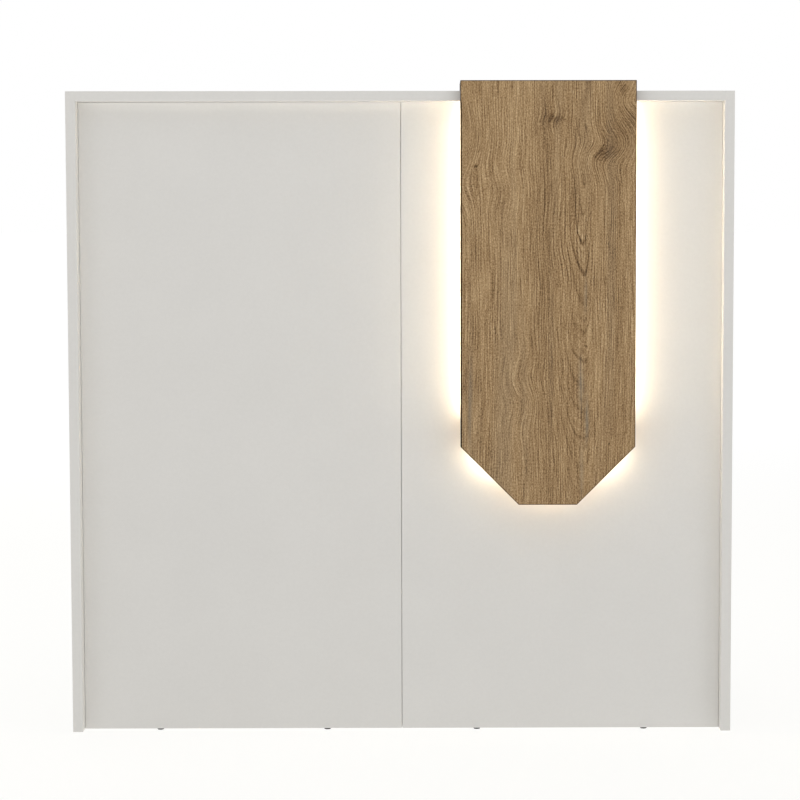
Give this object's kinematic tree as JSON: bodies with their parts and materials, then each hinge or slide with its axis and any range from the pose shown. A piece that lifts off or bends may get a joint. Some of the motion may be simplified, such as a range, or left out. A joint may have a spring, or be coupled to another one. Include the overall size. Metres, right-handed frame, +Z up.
{
  "type": "checkout counter",
  "caption": "White laminated checkout counter with a raised customer ledge, a back-lit oak facing with cut corners, and a desk with drawers, cupboard and keyboard tray behind.",
  "frame": {"origin": "on the floor at the middle of the whole counter's box", "axes": "+X to the customer's right along the counter, +Y from the customer to the operator, +Z up"},
  "size_m": [1.2, 0.644, 1.183],
  "materials": {
    "white_laminate": "chipboard faced and edged in satin white melamine",
    "oak_decor": "chipboard faced in a matt natural oak decor with upright grain",
    "pine": "planed bare softwood",
    "hardboard": "thin hardboard, white on its upper face",
    "aluminium_profile": "extruded, silver anodised",
    "led_diffuser": "opal cover, lit warm white from inside",
    "led_tape": "white flexible circuit tape",
    "white_cable": "white jacketed low-voltage lead",
    "white_plastic": "moulded, satin",
    "dark_plastic": "moulded, fine texture",
    "zinc_steel": "zinc plated sheet and wire",
    "handle_steel": "satin nickel plated",
    "lock_chrome": "nickel plated brass"
  },
  "bodies": {
    "root": {"side_panel_left": "white_laminate", "side_panel_right": "white_laminate", "ledge_top": "white_laminate", "front_panel_left": "white_laminate", "front_panel_right": "white_laminate", "worktop": "white_laminate", "centre_partition": "white_laminate", "hutch_divider": "white_laminate", "hutch_shelf_left": "white_laminate", "hutch_shelf_right": "white_laminate", "shelf_pins": "zinc_steel", "pedestal_floor": "white_laminate", "pedestal_deck": "white_laminate", "plinth_rail": "white_laminate", "cupboard_shelf": "white_laminate", "oak_front_panel": "oak_decor", "oak_top_slab": "oak_decor", "batten_left": "pine", "batten_right": "pine", "battens_lower": "pine", "led_channels": "aluminium_profile", "led_diffusers": "led_diffuser", "led_tapes": "led_tape", "led_lead": "white_cable", "lead_clips": "white_plastic", "led_controller": "dark_plastic", "upper_runner_outer": "zinc_steel", "lower_runner_outer": "zinc_steel", "tray_runner_outer": "zinc_steel", "pivot_bushes": "dark_plastic", "door_magnet": "dark_plastic", "lock_strike": "zinc_steel", "grommet_ring": "dark_plastic", "glides": "dark_plastic", "assembly_screws": "zinc_steel", "cover_caps": "white_plastic"},
    "upper_drawer": {"upper_drawer_front": "white_laminate", "upper_drawer_box": "white_laminate", "upper_drawer_bottom": "hardboard", "upper_drawer_handle": "handle_steel", "upper_runner_inner": "zinc_steel", "lock_cylinder": "lock_chrome"},
    "upper_runner": {"upper_runner_middle": "zinc_steel"},
    "lower_drawer": {"lower_drawer_front": "white_laminate", "lower_drawer_box": "white_laminate", "lower_drawer_bottom": "hardboard", "lower_drawer_handle": "handle_steel", "lower_runner_inner": "zinc_steel"},
    "lower_runner": {"lower_runner_middle": "zinc_steel"},
    "tray": {"keyboard_tray": "white_laminate", "tray_runner_inner": "zinc_steel"},
    "door": {"cupboard_door": "white_laminate", "door_handle": "handle_steel", "door_pivot_pins": "zinc_steel", "door_strike_plate": "zinc_steel"},
    "light_button": {"led_button": "white_plastic"},
    "lock": {"lock_cam": "lock_chrome", "lock_key": "lock_chrome"},
    "cable_cap": {"grommet_cap": "dark_plastic"}
  },
  "joints": [
    {"name": "upper_drawer_slide", "type": "slide", "parent": "root", "child": "upper_drawer", "axis": [0, 1, 0], "range_m": [0, 0.42]},
    {"name": "upper_runner_slide", "type": "slide", "parent": "root", "child": "upper_runner", "axis": [0, 1, 0], "range_m": [0, 0.21]},
    {"name": "lower_drawer_slide", "type": "slide", "parent": "root", "child": "lower_drawer", "axis": [0, 1, 0], "range_m": [0, 0.42]},
    {"name": "lower_runner_slide", "type": "slide", "parent": "root", "child": "lower_runner", "axis": [0, 1, 0], "range_m": [0, 0.21]},
    {"name": "keyboard_tray_slide", "type": "slide", "parent": "root", "child": "tray", "axis": [0, 1, 0], "range_m": [0, 0.2]},
    {"name": "cupboard_door_hinge", "type": "hinge", "parent": "root", "child": "door", "pos_m": [0.0225, 0.285, 0.256], "axis": [0, 0, 1], "range_deg": [0, 100]},
    {"name": "light_button_press", "type": "slide", "parent": "root", "child": "light_button", "axis": [0, -1, 0], "range_m": [0, 0.0015], "stiffness_N_per_m": 400},
    {"name": "lock_turn", "type": "hinge", "parent": "upper_drawer", "child": "lock", "pos_m": [0.2955, 0.28, 0.701], "axis": [0, -1, 0], "range_deg": [0, 90]},
    {"name": "cable_cap_lift", "type": "slide", "parent": "root", "child": "cable_cap", "axis": [0, 0, 1], "range_m": [0, 0.02]}
  ],
  "couplings": [
    {"joint": "upper_runner_slide", "follows": "upper_drawer_slide", "ratio": 0.5},
    {"joint": "lower_runner_slide", "follows": "lower_drawer_slide", "ratio": 0.5}
  ]
}
